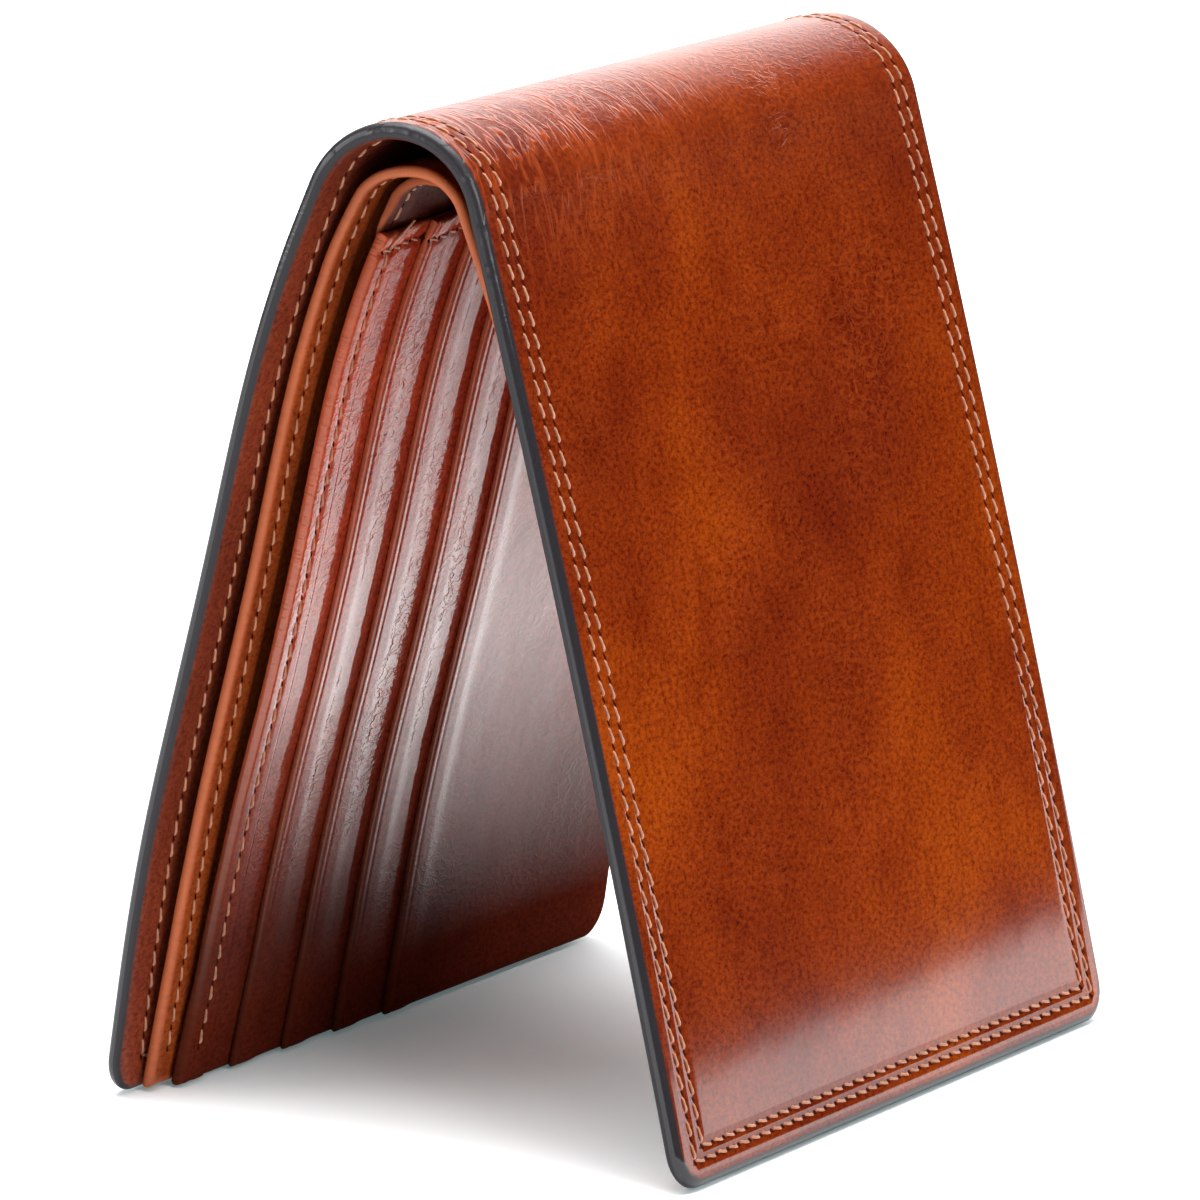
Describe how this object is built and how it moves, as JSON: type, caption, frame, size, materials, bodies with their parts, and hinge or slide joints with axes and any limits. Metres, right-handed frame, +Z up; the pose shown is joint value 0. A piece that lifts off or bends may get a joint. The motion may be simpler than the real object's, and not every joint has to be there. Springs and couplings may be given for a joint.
{
  "type": "bifold wallet",
  "caption": "Folded leather wallet with note compartments, stepped card pockets and stitched edges, standing open like a tent.",
  "frame": {"origin": "on the table, at the middle of the footprint", "axes": "+Z up, +Y along the fold from the note opening to the sewn edge, +X from the left leaf to the right leaf"},
  "size_m": [0.0682, 0.098, 0.1053],
  "materials": {
    "cover_leather": "glossy hand stained",
    "lining_leather": "satin",
    "divider_leather": "satin",
    "pocket_leather": "glossy",
    "thread": "waxed"
  },
  "bodies": {
    "spine": {"spine_cover": "cover_leather", "spine_cover_lining": "lining_leather", "spine_divider": "divider_leather", "spine_divider_hem_seam": "thread", "spine_inner_seam_far": "thread", "spine_inner_seam_near": "thread", "spine_inner_wall": "pocket_leather", "spine_inner_wall_hem_seam": "thread", "spine_outer_seam_far": "thread", "spine_outer_seam_near": "thread"},
    "left_leaf": {"left_card_pocket_1": "pocket_leather", "left_card_pocket_2": "pocket_leather", "left_card_pocket_3": "pocket_leather", "left_card_pocket_4": "pocket_leather", "left_cover": "cover_leather", "left_cover_lining": "lining_leather", "left_divider": "divider_leather", "left_divider_hem_seam": "thread", "left_inner_seam": "thread", "left_inner_wall": "pocket_leather", "left_outer_seam": "thread", "left_panel_hem_seam": "thread", "left_pocket_side_seam": "thread", "left_top_panel": "pocket_leather"},
    "right_leaf": {"right_card_pocket_1": "pocket_leather", "right_card_pocket_2": "pocket_leather", "right_card_pocket_3": "pocket_leather", "right_card_pocket_4": "pocket_leather", "right_cover": "cover_leather", "right_cover_lining": "lining_leather", "right_divider": "divider_leather", "right_divider_hem_seam": "thread", "right_inner_seam": "thread", "right_inner_wall": "pocket_leather", "right_outer_seam": "thread", "right_panel_hem_seam": "thread", "right_pocket_side_seam": "thread", "right_top_panel": "pocket_leather"}
  },
  "joints": [
    {"name": "right_leaf_fold", "type": "hinge", "parent": "spine", "child": "right_leaf", "pos_m": [0.00178, 0, 0.10295], "axis": [0, -1, 0], "range_deg": [-13, 74]},
    {"name": "left_leaf_fold", "type": "hinge", "parent": "spine", "child": "left_leaf", "pos_m": [-0.01014, 0, 0.10295], "axis": [0, 1, 0], "range_deg": [-13.7, 77.8]}
  ],
  "couplings": [
    {"joint": "left_leaf_fold", "follows": "right_leaf_fold", "ratio": 1.05}
  ]
}
